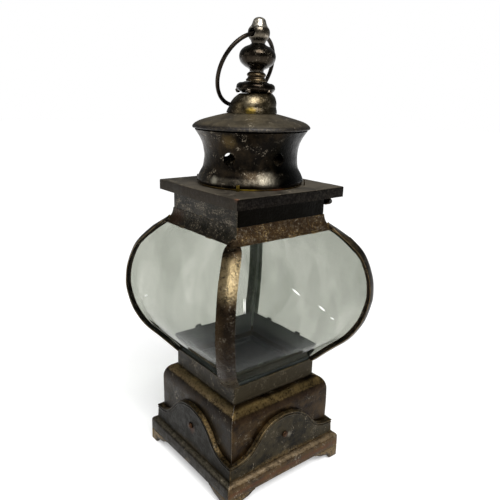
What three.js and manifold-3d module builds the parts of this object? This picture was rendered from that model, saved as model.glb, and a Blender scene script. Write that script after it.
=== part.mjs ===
// Moroccan metal lantern: square plinth, curved glass globe, hinged lid with a round chimney,
// a turned finial and a swinging hanging ring. Millimetres, +Z up, origin under the centre.
// Front is -Y, right is +X.
import * as THREE from 'three';
import { mergeVertices } from 'three/addons/utils/BufferGeometryUtils.js';
import Module from 'manifold-3d';

const wasm = await Module();
wasm.setup();

// ---------------------------------------------------------------- driving dimensions
const GAP = 0.3; // clearance between pieces that touch
const SHEET = 1.2; // sheet metal
const GLASS = 2; // pane thickness
const REACH = 500; // longer than any cutting solid has to be

const plinth = { half: 69.5, bottom: 12, top: 26.5, edge: 4.5, inner: 58.5, sheet: 1.5 };
const foot = { long: 31, toe: 9, thick: 3, tongueTop: 22, tongueLong: 24 };
const base = { half: 59.6, top: 90.3, round: 15.8, ledge: 46.2 };
const apron = { half: 64.6, low: 41.6, high: 72.4, hole: 50.5 };
const rivet = { shank: 1.5, bore: 1.9, head: 3.2, dome: 1.6, tail: 2.4 };
const lowerNeck = { half: 48.8, top: 108.3 };
const lowerSkirt = { start: 104, flare: 112, top: 123.5, foot: 46.4, lip: 51.2 };
const tray = { half: 47.2, height: 6 };
const upperNeck = { half: 49.8, bottom: 252.7, top: 278.7 };
const upperSkirt = { lip: 57, low: 241.2 };
const paneMitre = 1.7; // how far each pane and skirt stays back from the corner line
const lid = { half: 60, top: 280.5, drop: 9.3, flue: 40, sheet: 1.5 };
const sleeve = { half: 46.8, bottom: 263, back: 39.2 };
const hinge = { y: 56, z: 265.8, radius: 2.7, bore: 1.3, pin: 0.95, half: 50, knuckles: 5, leaf: 44 };
const chimney = {
  ring: 47, ringHeight: 1.2, vents: 6, vent: 5.5, ventZ: 305.5, ventTurn: -3.7, tabTurn: -50,
};
const ring = { radius: 32.6, wire: 1.8, turn: 10, restAngle: 22.5 };
const finial = { base: 342.55, bore: 3.5, boreZ: 65.6, rod: 2, rodBore: 2.4, rodTop: 59.2, rodBottom: -9.5 };
// the hand-fitted lid sits a little off centre, and its finial leans the same way
const lean = { turn: 51.7, shift: 1.5, bellTop: 2.6, stackBase: 2.3, tilt: 2 };

// a smooth line through [across, height] points
function smooth(points) {
  return new THREE.SplineCurve(points.map(([x, y]) => new THREE.Vector2(x, y)));
}

// outer face of the glass in a plane square to one side: half width, height
const globeLine = [[48.6, 111.4], [58.9, 123.4], [69.2, 134.8], [75.4, 146], [79.4, 157.5], [82.1, 172.5],
  [82.3, 182], [81.2, 194], [77.8, 208.4], [72.9, 220]];
const paneCurve = smooth([...globeLine, [62.4, 234], [51, 244.5]]);
// the line that the corner ribs follow: the glass corner, then over the skirts to the neck
const ribLine = smooth([...globeLine, [62.6, 234], [56.2, 241.6], [51, 251]]);
const rib = { half: 6.1, crown: 3.4, lift: 0.3, stem: 0.85, depth: 2.2 };
// the top of a rib narrows to a tongue between the upper skirts: half width, height
const tongue = [[6.4, 234], [4.3, 241.2], [2.4, 247], [0.9, 251.2]];

// ---------------------------------------------------------------- materials
function metal(color, roughness, metalness = 0.85) {
  return new THREE.MeshStandardMaterial({ color, roughness, metalness });
}
const patina = () => metal(0x2e261d, 0.48);
const brass = () => metal(0x7d6640, 0.4);
const dusty = () => metal(0x4d443a, 0.62);
const steel = () => metal(0x55504a, 0.5);
const glassTint = () => new THREE.MeshStandardMaterial({
  color: 0xc9d0cb, roughness: 0.05, metalness: 0, transparent: true, opacity: 0.35,
});

// ---------------------------------------------------------------- solids
function toSolid(geometry) {
  const bare = geometry.index ? geometry.toNonIndexed() : geometry.clone();
  bare.deleteAttribute('normal');
  bare.deleteAttribute('uv');
  const merged = mergeVertices(bare, 1e-4);
  const solid = new wasm.Manifold(new wasm.Mesh({
    numProp: 3,
    vertProperties: new Float32Array(merged.attributes.position.array),
    triVerts: new Uint32Array(merged.index.array),
  }));
  return solid;
}

function toGeometry(solid) {
  const mesh = solid.getMesh();
  const geometry = new THREE.BufferGeometry();
  geometry.setAttribute('position', new THREE.BufferAttribute(mesh.vertProperties, 3));
  geometry.setIndex(new THREE.BufferAttribute(mesh.triVerts, 1));
  geometry.computeVertexNormals();
  return geometry;
}

function box(x0, x1, y0, y1, z0, z1) {
  const geometry = new THREE.BoxGeometry(x1 - x0, y1 - y0, z1 - z0);
  geometry.translate((x0 + x1) / 2, (y0 + y1) / 2, (z0 + z1) / 2);
  return toSolid(geometry);
}

// a cylinder that stands on z0, or lies along X or Y when it is turned
function rod(radius, z0, z1, sides = 20) {
  const geometry = new THREE.CylinderGeometry(radius, radius, z1 - z0, sides);
  geometry.rotateX(Math.PI / 2);
  geometry.translate(0, 0, (z0 + z1) / 2);
  return toSolid(geometry);
}

function rodAlongX(radius, x0, x1, y, z, sides = 16) {
  const geometry = new THREE.CylinderGeometry(radius, radius, x1 - x0, sides);
  geometry.rotateZ(Math.PI / 2);
  geometry.translate((x0 + x1) / 2, y, z);
  return toSolid(geometry);
}

// turned about Z from a profile of [radius, height] points
function turned(points, sides = 28) {
  const geometry = new THREE.LatheGeometry(points.map(([r, z]) => new THREE.Vector2(r, z)), sides);
  geometry.rotateX(Math.PI / 2);
  return toSolid(geometry);
}

// a turned shell: the outer line going up, then the same line set in by the sheet, coming back
function turnedShell(outer, thickness, sides) {
  const inner = offsetLine(outer, -thickness).reverse();
  return turned([...outer, ...inner, outer[0]], sides);
}

// moves an open line of points sideways, to the right of its direction when the distance is positive
function offsetLine(points, distance) {
  return points.map((point, i) => {
    const before = points[Math.max(i - 1, 0)];
    const after = points[Math.min(i + 1, points.length - 1)];
    const run = [after[0] - before[0], after[1] - before[1]];
    const length = Math.hypot(run[0], run[1]);
    return [point[0] + (run[1] / length) * distance, point[1] - (run[0] / length) * distance];
  });
}

function shapeOf(points) {
  return new THREE.Shape(points.map(([x, y]) => new THREE.Vector2(x, y)));
}

// a side profile of [distance out, height] points, run along X on the front side
function alongX(points, half = REACH) {
  const geometry = new THREE.ExtrudeGeometry(shapeOf(points), { depth: 2 * half, bevelEnabled: false });
  // profile x goes out to -Y, profile y goes up, and the depth runs along X
  geometry.applyMatrix4(new THREE.Matrix4().makeBasis(
    new THREE.Vector3(0, -1, 0), new THREE.Vector3(0, 0, 1), new THREE.Vector3(-1, 0, 0)));
  geometry.translate(half, 0, 0);
  return toSolid(geometry);
}

// a face outline of [x, height] points, run back from the front side between two distances out
function alongY(points, near, far) {
  const geometry = new THREE.ExtrudeGeometry(shapeOf(points), { depth: far - near, bevelEnabled: false });
  geometry.rotateX(Math.PI / 2);
  geometry.translate(0, -near, 0);
  return toSolid(geometry);
}

// the front quarter of the plan, cut back by the mitre on both corner lines
function frontQuarter(mitre) {
  const geometry = new THREE.ExtrudeGeometry(
    shapeOf([[0, -mitre], [-REACH, -REACH - mitre], [REACH, -REACH - mitre]]),
    { depth: REACH, bevelEnabled: false });
  return toSolid(geometry);
}

// a sheet panel of the front side: its outer line going up, made as thick as the sheet inwards
function mitredPanel(outer, thickness, mitre) {
  const band = [...outer, ...offsetLine(outer, -thickness).reverse()];
  return alongX(band).intersect(frontQuarter(mitre));
}

function squareTube(half, wall, z0, z1) {
  const hollow = half - wall;
  return box(-half, half, -half, half, z0, z1)
    .subtract(box(-hollow, hollow, -hollow, hollow, z0 - 1, z1 + 1));
}

function curvePoints(curve, steps) {
  return curve.getPoints(steps).map((p) => [p.x, p.y]);
}

function rivetHole() {
  return rod(rivet.bore, 0, REACH, 12).rotate([90, 0, 0]).translate([0, 0, apron.hole]);
}

function basePanel() {
  const sill = plinth.top + GAP;
  const run = base.half - lowerNeck.half - GAP;
  const moulding = Array.from({ length: 9 }, (_, i) => {
    const angle = (i / 8) * (Math.PI / 2);
    return [base.half - run * (1 - Math.cos(angle)), base.top - base.round * (1 - Math.sin(angle))];
  });
  const outer = [[base.half, sill], ...moulding, [base.ledge, base.top]];
  return mitredPanel(outer, SHEET, 0.15).subtract(rivetHole());
}

function apronPlate() {
  const { low, high } = apron;
  const wave = smooth([[72, low], [60, low], [50, low + 1.2], [40.5, low + 6], [28, low + 19.6],
    [15, low + 28], [0, high]]);
  const right = curvePoints(wave, 18);
  const crest = [...right, ...right.slice(0, -1).reverse().map(([x, z]) => [-x, z])];
  const sill = plinth.top + GAP;
  const outline = [[-72, sill], [72, sill], ...crest];
  // the rim is a turned-back flange, so the plate is hollow behind
  const hollowCrest = offsetLine(crest, -SHEET * 1.3);
  const hollow = [[-90, sill - 1], [90, sill - 1], [90, hollowCrest[0][1]], ...hollowCrest,
    [-90, hollowCrest[0][1]]];
  const back = base.half + GAP;
  return alongY(outline, back, apron.half)
    .subtract(alongY(hollow, back - 1, apron.half - SHEET))
    .intersect(frontQuarter(0.2))
    .subtract(rivetHole());
}

function apronRivet() {
  const seat = apron.half + GAP;
  const inside = base.half - SHEET - GAP;
  return turned([[0, inside - 1], [rivet.tail, inside - 1], [rivet.tail, inside], [rivet.shank, inside],
    [rivet.shank, seat], [rivet.head, seat], [rivet.head * 0.75, seat + rivet.dome * 0.75],
    [0, seat + rivet.dome]], 12).rotate([90, 0, 0]).translate([0, 0, apron.hole]);
}

function plinthRail() {
  const { half, bottom, top, edge, inner, sheet } = plinth;
  const corner = Array.from({ length: 6 }, (_, i) => {
    const angle = (i / 5) * (Math.PI / 2);
    return [half - edge + edge * Math.cos(angle), top - edge + edge * Math.sin(angle)];
  });
  return mitredPanel([[half, bottom], ...corner, [inner, top]], sheet, 0.15);
}

// a bracket foot: one wing along each side of the corner, and a tongue up behind the rails
function cornerFoot() {
  const { half, bottom } = plinth;
  const top = bottom - GAP;
  const scroll = new THREE.CubicBezierCurve(
    new THREE.Vector2(half - foot.toe, 0), new THREE.Vector2(half - foot.toe - 1, 12),
    new THREE.Vector2(half - foot.long + 9, 6), new THREE.Vector2(half - foot.long, top - 1));
  const wing = [[half, 0], [half, top], [half - foot.long, top], ...curvePoints(scroll, 9).reverse()];
  const wingFront = alongY(wing, half - foot.thick, half);
  const wingSide = wingFront.mirror([1, 1, 0]);
  const behind = half - plinth.sheet - GAP;
  const start = half - foot.tongueLong;
  const tongueFront = box(start, behind, -behind, -behind + foot.thick / 2, top - 4, foot.tongueTop);
  const tongueSide = tongueFront.mirror([1, 1, 0]);
  return wingFront.add(wingSide).add(tongueFront).add(tongueSide);
}

// ---------------------------------------------------------------- globe
function glassPane() {
  return mitredPanel(curvePoints(paneCurve, 22), GLASS, paneMitre);
}

// two small bent tabs on an edge of a skirt
function edgeTabs(half, z0, z1) {
  return [-22, 22].map((x) => box(x - 3.5, x + 3.5, -half - SHEET / 2, -half + SHEET / 2, z0, z1));
}

// the skirts are cut back at the corners around the ribs' tongues
function upperSkirtPanel() {
  const { lip, low } = upperSkirt;
  const panel = mitredPanel([[lip, low], [upperNeck.half + 0.4, upperNeck.bottom - GAP]], SHEET, paneMitre);
  const slot = alongCorner(tongueOutline(GAP, low - 10));
  return panel.subtract(slot.rotate([0, 0, -45])).subtract(slot.rotate([0, 0, -135]));
}

function lowerSkirtPanel() {
  const outer = [[lowerSkirt.foot, lowerSkirt.start], [lowerSkirt.foot, lowerSkirt.flare],
    [lowerSkirt.lip, lowerSkirt.top]];
  const panel = mitredPanel(outer, SHEET, paneMitre);
  const tabs = edgeTabs(lowerSkirt.lip - SHEET / 2 - 0.1, lowerSkirt.top - 1.5, lowerSkirt.top + 2.5);
  return panel.add(tabs[0]).add(tabs[1]);
}

// the rib line set out on the corner, where the half width grows by the square root of 2
class CornerCurve extends THREE.Curve {
  getPoint(t) {
    const p = ribLine.getPoint(t);
    return new THREE.Vector3(p.x * Math.SQRT2, 0, p.y);
  }
}

// sweeps a section of [across, out] points up the corner
function cornerSweep(section, steps) {
  return toSolid(new THREE.ExtrudeGeometry(shapeOf(section), {
    steps, extrudePath: new CornerCurve(), bevelEnabled: false,
  }));
}

// an outline of [across, height] points, run straight out from the axis to the corner
function alongCorner(points) {
  const geometry = new THREE.ExtrudeGeometry(shapeOf(points), { depth: REACH, bevelEnabled: false });
  geometry.applyMatrix4(new THREE.Matrix4().makeBasis(
    new THREE.Vector3(0, 1, 0), new THREE.Vector3(0, 0, 1), new THREE.Vector3(1, 0, 0)));
  return toSolid(geometry);
}

// the tongue's outline, wider by a clearance, carried down at its widest to a given height
function tongueOutline(clearance, down) {
  const right = tongue.map(([x, z]) => [x + clearance, z]);
  const left = tongue.map(([x, z]) => [-x - clearance, z]).reverse();
  return [[right[0][0], down], ...right, ...left, [left[left.length - 1][0], down]];
}

// a low half-round cover over the joint of two panes, with a web that goes between them
function cornerRib() {
  const { half, crown, lift, stem, depth } = rib;
  const edge = 0.8;
  const dome = Array.from({ length: 7 }, (_, i) => {
    const angle = (i / 6) * Math.PI;
    return [half * Math.cos(angle), lift + edge + (crown - edge) * Math.sin(angle)];
  });
  const section = [[-half, lift], [-stem, lift], [-stem, -depth], [stem, -depth], [stem, lift],
    [half, lift], ...dome];
  // both ends are level, and thin away to the necks
  const low = lowerNeck.top + GAP;
  const high = tongue[tongue.length - 1][1];
  const outside = [[0, low], [70.6, low], [77.2, 114], [86, 120.8], [REACH, 121], [REACH, 233], [94.9, 233.8],
    [91.3, 236.4], [80.6, 243.4], [77.3, 245.7], [72.8, high], [0, high]];
  return cornerSweep(section, 28)
    .intersect(alongCorner(tongueOutline(0, low)))
    .intersect(alongX(outside).rotate([0, 0, 90]));
}

function candleTray() {
  const { half, height } = tray;
  const floor = base.top + GAP;
  return box(-half, half, -half, half, floor, floor + height)
    .subtract(box(-half + SHEET, half - SHEET, -half + SHEET, half - SHEET, floor + SHEET, REACH));
}

// ---------------------------------------------------------------- lid
function lidPlate() {
  const { half, top, drop, flue } = lid;
  const hollow = half - SHEET;
  return box(-half, half, -half, half, top - drop, top)
    .subtract(box(-hollow, hollow, -hollow, hollow, 0, top - lid.sheet))
    .subtract(rod(flue, top - drop, top + 1, 36));
}

function lidSleeve() {
  const { half, bottom, back } = sleeve;
  const top = lid.top - lid.sheet - GAP;
  const hollow = half - SHEET;
  return box(-half, half, -half, back, bottom, top)
    .subtract(box(-hollow, hollow, -hollow, REACH, bottom - 1, top + 1));
}

// one leaf's knuckles are the even or the odd ones along the pin
function knuckles(odd) {
  const pitch = (2 * hinge.half) / hinge.knuckles;
  const rows = Array.from({ length: hinge.knuckles }, (_, i) => i).filter((i) => (i % 2 === 1) === odd);
  return rows.map((i) => {
    const x0 = -hinge.half + i * pitch + (i > 0 ? GAP / 2 : 0);
    const x1 = -hinge.half + (i + 1) * pitch - (i < hinge.knuckles - 1 ? GAP / 2 : 0);
    return [x0, x1, rodAlongX(hinge.radius, x0, x1, hinge.y, hinge.z)];
  });
}

function pinBore() {
  return rodAlongX(hinge.bore, -REACH, REACH, hinge.y, hinge.z, 12);
}

function neckLeaf() {
  const face = upperNeck.half + GAP;
  let leaf = box(-hinge.leaf, hinge.leaf, face, face + SHEET, upperNeck.bottom + 1, hinge.z);
  for (const [x0, x1, knuckle] of knuckles(false)) {
    const low = hinge.z - hinge.radius;
    leaf = leaf.add(knuckle).add(box(x0, x1, face + SHEET / 2, hinge.y, low, low + SHEET));
  }
  return leaf.subtract(pinBore());
}

function lidLeaf() {
  const high = lid.top - lid.sheet - GAP;
  const outside = hinge.y + hinge.radius + 0.4;
  const under = hinge.z + hinge.radius + GAP;
  let leaf = box(-hinge.leaf, hinge.leaf, outside - SHEET, outside, under, high);
  for (const [x0, x1, knuckle] of knuckles(true)) {
    leaf = leaf.add(knuckle).add(box(x0, x1, outside - SHEET, outside, hinge.z, under + 1));
  }
  return leaf.subtract(pinBore());
}

function hingePin() {
  const end = hinge.half + 0.2;
  const shaft = rodAlongX(hinge.pin, -end - 1, end + 1, hinge.y, hinge.z, 12);
  const heads = [[-end - 1.2, -end], [end, end + 1.2]]
    .map(([x0, x1]) => rodAlongX(hinge.bore + 0.6, x0, x1, hinge.y, hinge.z, 12));
  return shaft.add(heads[0]).add(heads[1]);
}

// ---------------------------------------------------------------- chimney
function chimneyBaseRing() {
  const low = lid.top + GAP;
  const high = low + chimney.ringHeight;
  const inner = lid.flue + 1.5;
  return turned([[inner, low], [chimney.ring, low], [chimney.ring, high], [inner, high], [inner, low]], 36);
}

function chimneyBody() {
  const bottom = lid.top + 2 * GAP + chimney.ringHeight;
  const waist = smooth([[46.6, bottom], [48.2, bottom + 2.4], [46.2, 289.8], [43, 296], [42, 304.5],
    [42.7, 313.3], [45.4, 320.6], [50.2, 328]]);
  let body = turnedShell(curvePoints(waist, 10), SHEET, 32);
  for (let i = 0; i < chimney.vents; i++) {
    const turn = chimney.ventTurn + (i * 360) / chimney.vents;
    const drill = rod(chimney.vent, 20, 70, 16).rotate([0, 90, 0]).translate([0, 0, chimney.ventZ]);
    body = body.subtract(drill.rotate([0, 0, turn]));
  }
  return body;
}

function chimneyTab() {
  const start = 49.3;
  return box(start, start + 1, -1.5, 1.5, lid.top + GAP, lid.top + 5.5);
}

// a shallow domed cone with a rolled rim and a hole for the tie rod
function chimneyCap() {
  const crown = smooth([[5.2, 344.1], [21.9, 342.1], [41.2, 337.2], [48.6, 334.4], [51.8, 331.9]]);
  const top = curvePoints(crown, 6);
  const inside = offsetLine(top, SHEET).reverse();
  const rim = [[52.4, 331], [52.3, 329.7], [51.5, 329.3], [50.6, 329.8]];
  return turned([...top, ...rim, ...inside, top[0]].reverse(), 32);
}

function finialBell() {
  const high = 16.6;
  const side = smooth([[22.2, 0], [22.2, 2.6], [21.6, 6.6], [19.2, 12.2], [15.6, 16]]);
  const outer = [...curvePoints(side, 6), [14.4, high], [3.6, high]];
  const push = lean.bellTop / high;
  const turn = THREE.MathUtils.degToRad(lean.turn);
  const shell = toGeometry(turnedShell(outer, SHEET, 24));
  const shear = new THREE.Matrix4();
  shear.elements[8] = push * Math.cos(turn);
  shear.elements[9] = push * Math.sin(turn);
  return toSolid(shell.applyMatrix4(shear));
}

function finialDisc() {
  const [low, high] = [17.7, 26.3];
  return turned([[finial.rodBore, low], [13.6, low], [16.2, low + 1.2], [16.9, low + 3.4], [16.3, low + 5.6],
    [14.2, low + 7.3], [9.7, high], [finial.rodBore, high], [finial.rodBore, low]], 28);
}

function finialSpindle() {
  const [low, high] = [26.6, 34.5];
  return turned([[finial.rodBore, low], [8.9, low], [8.6, low + 2], [7.3, low + 3.3], [8.4, low + 5],
    [7.8, low + 6.4], [6.1, high], [finial.rodBore, high], [finial.rodBore, low]], 20);
}

function finialBall() {
  const [low, high] = [34.8, 57.5];
  return turned([[finial.rodBore, low], [6.1, low], [6.6, low + 1.6], [10.6, low + 3.8], [14.5, low + 7.2],
    [15.8, low + 12], [14.7, low + 16.2], [11.4, low + 19.4], [7, low + 21.5], [5.9, high],
    [finial.rodBore, high], [finial.rodBore, low]], 24);
}

function finialKnob() {
  const [low, high] = [57.8, 78.6];
  const body = turned([[0, low], [5.9, low], [6.5, low + 1.7], [8.8, low + 4.7], [9.5, low + 7.9],
    [8.9, low + 11.1], [7, low + 13.7], [6, low + 15.9], [5, low + 18.6], [3, low + 20.2], [0, high]], 24);
  const cross = rod(finial.bore, -20, 20, 16).rotate([90, 0, 0])
    .rotate([0, 0, ring.turn]).translate([0, 0, finial.boreZ]);
  const blind = rod(finial.rodBore, low - 1, finial.rodTop + GAP, 12);
  return body.subtract(cross).subtract(blind);
}

function finialRod() {
  return rod(finial.rod, finial.rodBottom, finial.rodTop, 12);
}

function finialNut() {
  const [low, high] = [-6.2, -2.4];
  return rod(4.7, low, high, 6).subtract(rod(finial.rodBore, low - 1, high + 1, 12));
}

function finialWasher() {
  const [low, high] = [-2.1, -0.9];
  return rod(9, low, high, 20).subtract(rod(finial.rodBore, low - 1, high + 1, 12));
}

function hangingRing() {
  const geometry = new THREE.TorusGeometry(ring.radius, ring.wire, 8, 44);
  geometry.rotateY(Math.PI / 2);
  geometry.translate(0, 0, -ring.radius);
  return toSolid(geometry);
}

// ---------------------------------------------------------------- assembly
function node(name, solid, material) {
  const mesh = new THREE.Mesh(toGeometry(solid), material);
  mesh.name = name;
  return mesh;
}

// four copies of one piece, turned about the vertical axis
function fourAround(names, stem, solid, makeMaterial, firstTurn = 0) {
  return names.map((where, i) => {
    const mesh = node(`${stem}_${where}`, solid, makeMaterial());
    mesh.rotation.z = THREE.MathUtils.degToRad(firstTurn + 90 * i);
    return mesh;
  });
}

const sides = ['front', 'right', 'back', 'left'];
const corners = ['front_right', 'back_right', 'back_left', 'front_left'];

const lantern = new THREE.Group();
lantern.add(
  ...fourAround(corners, 'corner_foot', cornerFoot(), dusty),
  ...fourAround(sides, 'plinth_rail', plinthRail(), dusty),
  ...fourAround(sides, 'base_panel', basePanel(), patina),
  ...fourAround(sides, 'apron', apronPlate(), patina),
  ...fourAround(sides, 'apron_rivet', apronRivet(), brass),
  node('lower_neck', squareTube(lowerNeck.half, SHEET, base.top + GAP, lowerNeck.top), patina()),
  node('candle_tray', candleTray(), patina()),
  ...fourAround(sides, 'lower_skirt', lowerSkirtPanel(), steel),
  ...fourAround(sides, 'glass', glassPane(), glassTint),
  ...fourAround(corners, 'rib', cornerRib(), brass, -45),
  ...fourAround(sides, 'upper_skirt', upperSkirtPanel(), patina),
  node('upper_neck', squareTube(upperNeck.half, SHEET, upperNeck.bottom, upperNeck.top), patina()),
  node('hinge_leaf_neck', neckLeaf(), patina()),
  node('hinge_leaf_lid', lidLeaf(), patina()),
  node('hinge_pin', hingePin(), steel()),
);

const leanTurn = THREE.MathUtils.degToRad(lean.turn);
const leanWay = new THREE.Vector3(Math.cos(leanTurn), Math.sin(leanTurn), 0);

const lidGroup = new THREE.Group();
lidGroup.position.copy(leanWay).multiplyScalar(lean.shift);
lidGroup.add(
  node('lid_plate', lidPlate(), dusty()),
  node('lid_sleeve', lidSleeve(), patina()),
  node('chimney_base_ring', chimneyBaseRing(), brass()),
  ...fourAround(['1', '2', '3', '4'], 'chimney_tab', chimneyTab(), brass, chimney.tabTurn),
  node('chimney_body', chimneyBody(), patina()),
  node('chimney_cap', chimneyCap(), dusty()),
);
lantern.add(lidGroup);

const bell = node('finial_bell', finialBell(), brass());
bell.position.z = finial.base;
lidGroup.add(bell);

const stack = new THREE.Group();
stack.position.copy(leanWay).multiplyScalar(lean.stackBase).setZ(finial.base);
stack.setRotationFromAxisAngle(new THREE.Vector3(-leanWay.y, leanWay.x, 0), THREE.MathUtils.degToRad(lean.tilt));
stack.add(
  node('finial_disc', finialDisc(), patina()),
  node('finial_spindle', finialSpindle(), brass()),
  node('finial_ball', finialBall(), patina()),
  node('finial_knob', finialKnob(), brass()),
  node('finial_tie_rod', finialRod(), steel()),
  node('finial_nut', finialNut(), steel()),
  node('finial_washer', finialWasher(), steel()),
);
lidGroup.add(stack);

// the ring hangs from the bead and lies back against the bell
const hangingRingMesh = node('hanging_ring', hangingRing(), patina());
hangingRingMesh.position.z = finial.boreZ;
hangingRingMesh.rotation.order = 'ZYX';
hangingRingMesh.rotation.z = THREE.MathUtils.degToRad(ring.turn);
hangingRingMesh.rotation.y = THREE.MathUtils.degToRad(ring.restAngle);
stack.add(hangingRingMesh);

export default lantern;
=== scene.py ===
"""A worn bronze lantern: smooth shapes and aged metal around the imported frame.
Lengths are in millimetres until a mesh is made."""
import math
import random

import bmesh
import bpy
from mathutils import Matrix, Vector, noise


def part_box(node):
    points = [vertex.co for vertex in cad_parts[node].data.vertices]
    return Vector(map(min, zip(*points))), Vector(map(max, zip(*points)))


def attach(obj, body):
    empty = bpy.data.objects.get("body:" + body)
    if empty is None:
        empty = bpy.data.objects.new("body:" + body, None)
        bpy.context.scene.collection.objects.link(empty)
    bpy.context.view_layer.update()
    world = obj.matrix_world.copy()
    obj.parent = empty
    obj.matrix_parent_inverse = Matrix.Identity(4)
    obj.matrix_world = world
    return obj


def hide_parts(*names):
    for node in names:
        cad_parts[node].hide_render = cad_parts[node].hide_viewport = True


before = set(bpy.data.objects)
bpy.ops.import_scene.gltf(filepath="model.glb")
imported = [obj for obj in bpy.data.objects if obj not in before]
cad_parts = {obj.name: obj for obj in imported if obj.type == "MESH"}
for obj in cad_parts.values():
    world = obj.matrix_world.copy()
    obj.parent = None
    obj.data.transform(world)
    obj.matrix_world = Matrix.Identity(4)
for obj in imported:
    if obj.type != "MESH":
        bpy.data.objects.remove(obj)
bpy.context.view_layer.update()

MM = 0.001
ROOT, LID, RING = "lantern", "lid", "ring"
SIDES = ["front", "right", "back", "left"]
CORNERS = ["front_right", "back_right", "back_left", "front_left"]


def span(node):
    """lowest and highest corner of a CAD node, in millimetres"""
    low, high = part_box(node)
    return low / MM, high / MM


# ------------------------------------------------------------------ camera
def camera():
    data = bpy.data.cameras.new("camera")
    data.sensor_width = 36
    data.lens = 38.9
    heading, pitch, roll = 0.8963, 0.284, -0.0241
    eye = Vector((0.38662, -0.30529, 0.359945))
    level = Vector((-math.sin(heading), math.cos(heading), 0))
    ahead = level * math.cos(pitch) - Vector((0, 0, math.sin(pitch)))
    right = ahead.cross(Vector((0, 0, 1))).normalized()
    up = right.cross(ahead)
    x = right * math.cos(roll) - up * math.sin(roll)
    y = right * math.sin(roll) + up * math.cos(roll)
    cam = bpy.data.objects.new("camera", data)
    cam.matrix_world = Matrix.Translation(eye) @ Matrix((x, y, -ahead)).transposed().to_4x4()
    bpy.context.scene.collection.objects.link(cam)
    bpy.context.scene.camera = cam


camera()


# ------------------------------------------------------------------ lines
def spline(points, steps):
    """a smooth line through the points, with that many steps in each stretch"""
    p = [Vector(q) for q in points]
    out = []
    for i in range(len(p) - 1):
        a = p[i - 1] if i else p[0]
        b, c = p[i], p[i + 1]
        d = p[i + 2] if i + 2 < len(p) else c
        for k in range(steps):
            t = k / steps
            out.append(0.5 * ((2 * b) + (c - a) * t + (2 * a - 5 * b + 4 * c - d) * t * t
                              + (3 * b - a - 3 * c + d) * t ** 3))
    return out + [p[-1]]


def offset(line, distance):
    """a 2-D line moved to its left by the distance"""
    out = []
    for i, q in enumerate(line):
        run = line[min(i + 1, len(line) - 1)] - line[max(i - 1, 0)]
        out.append(q + Vector((-run.y, run.x)).normalized() * distance)
    return out


# ------------------------------------------------------------------ meshes
def shell(outer, inner, wrap=False):
    """closes two grids of points into one sheet; wrap joins the last column to the first"""
    rows, cols = len(outer), len(outer[0])
    verts = [p for row in outer for p in row] + [p for row in inner for p in row]
    at = lambda side, r, c: side * rows * cols + r * cols + c % cols
    faces = []
    for c in range(cols if wrap else cols - 1):
        for r in range(rows - 1):
            faces.append([at(0, r, c), at(0, r, c + 1), at(0, r + 1, c + 1), at(0, r + 1, c)])
            faces.append([at(1, r, c), at(1, r + 1, c), at(1, r + 1, c + 1), at(1, r, c + 1)])
        for r in (0, rows - 1):
            faces.append([at(0, r, c), at(0, r, c + 1), at(1, r, c + 1), at(1, r, c)])
    if not wrap:
        for r in range(rows - 1):
            for c in (0, cols - 1):
                faces.append([at(0, r, c), at(0, r + 1, c), at(1, r + 1, c), at(1, r, c)])
    return verts, faces


def loops(rings, closed=True, ends=False):
    """joins rings of points in order; closed joins the last ring to the first, ends caps them"""
    count = len(rings[0])
    verts = [p for ring in rings for p in ring]
    faces = []
    total = len(rings) if closed else len(rings) - 1
    for i in range(total):
        j = (i + 1) % len(rings)
        for k in range(count):
            m = (k + 1) % count
            faces.append([i * count + k, i * count + m, j * count + m, j * count + k])
    if ends:
        faces.append(list(range(count)))
        faces.append([(len(rings) - 1) * count + k for k in range(count)])
    return verts, faces


def turned(profile, sides=96):
    """a closed profile of (radius, height) points, turned about Z"""
    rings = []
    for s in range(sides):
        a = 2 * math.pi * s / sides
        rings.append([Vector((p[0] * math.cos(a), p[0] * math.sin(a), p[1])) for p in profile])
    return loops(rings)


def prism(outline, low, high, axis="z"):
    """an outline of 2-D points, made solid between two levels"""
    def lift(p, h):
        return Vector((p[0], p[1], h)) if axis == "z" else Vector((p[0], -h, p[1]))
    ends = [[lift(p, level) for p in outline] for level in (low, high)]
    return loops(ends, closed=False, ends=True)


def sheet_panel(line, thickness, mitre, cols=24):
    """a mitred sheet of the front side from its (distance out, height) line going up"""
    grids = []
    for row in (line, offset(line, thickness)):
        grids.append([[Vector(((2 * c / cols - 1) * (p.x - mitre), -p.x, p.y)) for c in range(cols + 1)]
                      for p in row])
    return shell(*grids)


def piece(name, mesh_data, material, body, nodes=(), place=None, bevel=0.0, wobble=0.0, sharp=38):
    """makes one closed object from points in millimetres, and puts it in the frame; wobble dents it"""
    verts, faces = mesh_data
    matrix = place or Matrix.Identity(4)
    points = []
    for v in verts:
        p = matrix @ Vector(v)
        if wobble:
            p += noise.noise_vector(p * 0.028) * wobble + noise.noise_vector(p * 0.09) * wobble * 0.35
        points.append(p * MM)
    mesh = bpy.data.meshes.new(name)
    mesh.from_pydata(points, [], faces)
    bm = bmesh.new()
    bm.from_mesh(mesh)
    bmesh.ops.remove_doubles(bm, verts=bm.verts, dist=2e-6)
    bmesh.ops.recalc_face_normals(bm, faces=bm.faces)
    bm.to_mesh(mesh)
    bm.free()
    mesh.polygons.foreach_set("use_smooth", [True] * len(mesh.polygons))
    mesh.materials.append(material)
    obj = bpy.data.objects.new(name, mesh)
    bpy.context.scene.collection.objects.link(obj)
    if bevel:
        mod = obj.modifiers.new("edge", "BEVEL")
        mod.width = bevel * MM
        mod.segments = 3
        mod.limit_method = "ANGLE"
        mod.angle_limit = math.radians(34)
    elif sharp:
        mesh.set_sharp_from_angle(angle=math.radians(sharp))
    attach(obj, body)
    if nodes:
        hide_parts(*nodes)
    return obj


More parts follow.
